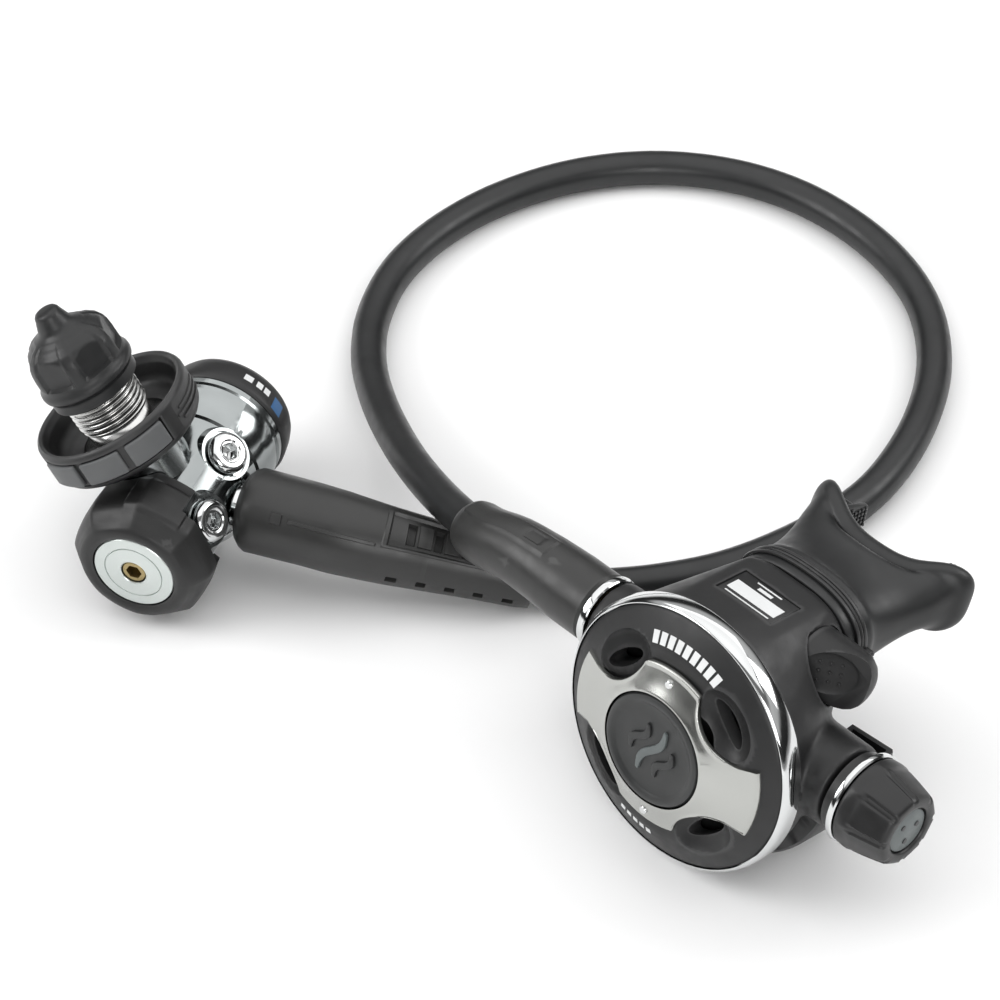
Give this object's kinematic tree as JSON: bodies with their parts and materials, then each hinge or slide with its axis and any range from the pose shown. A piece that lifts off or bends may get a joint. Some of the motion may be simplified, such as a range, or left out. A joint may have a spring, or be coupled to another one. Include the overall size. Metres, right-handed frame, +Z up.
{
  "type": "scuba regulator set",
  "caption": "Diaphragm first stage with DIN connector and handwheel, breathing hose, and second stage with purge, adjusting knob, airflow lever and mouthpiece.",
  "frame": {"origin": "middle of the footprint of everything but the hose, on the plane the set lies on", "axes": "+X runs from the first stage to the second stage, +Y to the hose's loop, +Z up"},
  "size_m": [0.2825, 0.3397, 0.0893],
  "materials": {
    "chrome": "polished",
    "satin_metal": "satin",
    "steel": "plain",
    "brass": "plain",
    "black_plastic": "matte",
    "black_silicone": "matte",
    "black_sleeve": "satin",
    "hose_rubber": "matte",
    "grey_rubber": "matte"
  },
  "bodies": {
    "first_stage": {"first_stage_body": "chrome", "body_boot": "black_sleeve", "end_plug": "satin_metal", "end_plug_screw": "brass", "port_plug_upper": "chrome", "port_plug_lower": "chrome", "port_plug_rear": "chrome", "port_plug_left": "chrome", "diaphragm_ring": "black_plastic", "outer_diaphragm": "black_silicone", "diaphragm_clamp": "brass", "spring_adjuster": "brass", "main_spring": "steel", "spring_button": "steel", "main_diaphragm": "black_silicone", "inlet_seat": "steel", "inlet_poppet_spring": "steel", "din_retainer": "chrome", "din_o_ring": "black_silicone", "din_filter": "brass", "hose": "hose_rubber", "hose_fitting_first": "chrome", "hose_fitting_second": "chrome", "hose_protector_first": "black_sleeve", "hose_protector_second": "black_sleeve"},
    "connector": {"din_stem": "chrome", "handwheel": "black_plastic", "handwheel_pads_front": "grey_rubber", "handwheel_pads_rear": "grey_rubber"},
    "cap_washer": {"dust_cap_washer": "black_silicone"},
    "cap": {"dust_cap": "black_plastic"},
    "poppet": {"inlet_poppet": "steel", "thrust_pad": "steel"},
    "second_stage": {"case": "black_plastic", "mouth_tube": "black_plastic", "label_plate": "satin_metal", "inlet_ring": "chrome", "valve_barrel": "brass", "orifice_seat": "steel", "demand_spring": "steel", "cover_ring": "chrome", "cover_bezel": "black_plastic", "face_plate": "satin_metal", "demand_diaphragm": "black_silicone", "purge_spring": "steel", "exhaust_tee": "black_plastic", "exhaust_valve": "black_silicone", "mouthpiece": "black_silicone", "mouthpiece_tie": "black_plastic"},
    "purge": {"purge_button": "grey_rubber"},
    "plate": {"diaphragm_plate": "steel"},
    "lever": {"demand_lever": "steel"},
    "valve": {"demand_poppet": "black_plastic"},
    "adjuster": {"adjuster_knob": "black_plastic", "adjuster_ring": "chrome", "adjuster_cap": "grey_rubber"},
    "screw": {"adjusting_screw": "brass"},
    "venturi": {"venturi_lever": "black_plastic", "venturi_vane": "steel"}
  },
  "joints": [
    {"name": "wheel_turn", "type": "hinge", "parent": "first_stage", "child": "connector", "pos_m": [-0.09627, 0.05477, 0.022], "axis": [-0.4698, 0.171, 0.866], "continuous": true},
    {"name": "cap_rise", "type": "slide", "parent": "connector", "child": "cap_washer", "axis": [-0.4698, 0.171, 0.866], "range_m": [0, 0.0146]},
    {"name": "cap_turn", "type": "hinge", "parent": "cap_washer", "child": "cap", "pos_m": [-0.09627, 0.05477, 0.022], "axis": [-0.4698, 0.171, 0.866], "range_deg": [0, 2880]},
    {"name": "poppet_lift", "type": "slide", "parent": "first_stage", "child": "poppet", "axis": [-0.342, -0.9397, 0], "range_m": [0, 0.0008], "stiffness_N_per_m": 2500, "deforming": ["inlet_poppet_spring"]},
    {"name": "second_stage_swivel", "type": "hinge", "parent": "first_stage", "child": "second_stage", "pos_m": [0.06533, -0.04653, 0.0427], "axis": [0.6947, -0.7193, 0], "continuous": true},
    {"name": "purge_press", "type": "slide", "parent": "second_stage", "child": "purge", "axis": [0.7061, 0.6819, -0.1908], "range_m": [0, 0.0032], "stiffness_N_per_m": 900, "deforming": ["purge_spring"]},
    {"name": "plate_travel", "type": "slide", "parent": "second_stage", "child": "plate", "axis": [0.7061, 0.6819, -0.1908], "range_m": [0, 0.0033]},
    {"name": "lever_swing", "type": "hinge", "parent": "second_stage", "child": "lever", "pos_m": [0.0715, -0.06281, 0.04404], "axis": [-0.1373, -0.1325, -0.9816], "range_deg": [0, 10.4]},
    {"name": "valve_lift", "type": "slide", "parent": "second_stage", "child": "valve", "axis": [0.6947, -0.7193, 0], "range_m": [0, 0.00081], "deforming": ["demand_spring"]},
    {"name": "knob_turn", "type": "hinge", "parent": "second_stage", "child": "adjuster", "pos_m": [0.10041, -0.08286, 0.0427], "axis": [0.6947, -0.7193, 0], "range_deg": [-540, 540]},
    {"name": "screw_travel", "type": "slide", "parent": "second_stage", "child": "screw", "axis": [0.6947, -0.7193, 0], "range_m": [-0.00151, 0.00151], "deforming": ["demand_spring"]},
    {"name": "venturi_turn", "type": "hinge", "parent": "second_stage", "child": "venturi", "pos_m": [0.07593, -0.0363, 0.06398], "axis": [0.6947, -0.7193, 0], "range_deg": [0, 60]}
  ],
  "couplings": [
    {"joint": "cap_rise", "follows": "cap_turn", "m_per_rad": 0.00028871},
    {"joint": "plate_travel", "follows": "purge_press", "ratio": 1},
    {"joint": "lever_swing", "follows": "purge_press", "rad_per_m": 53.1},
    {"joint": "valve_lift", "follows": "purge_press", "ratio": 0.25},
    {"joint": "screw_travel", "follows": "knob_turn", "m_per_rad": 0.00015915}
  ]
}
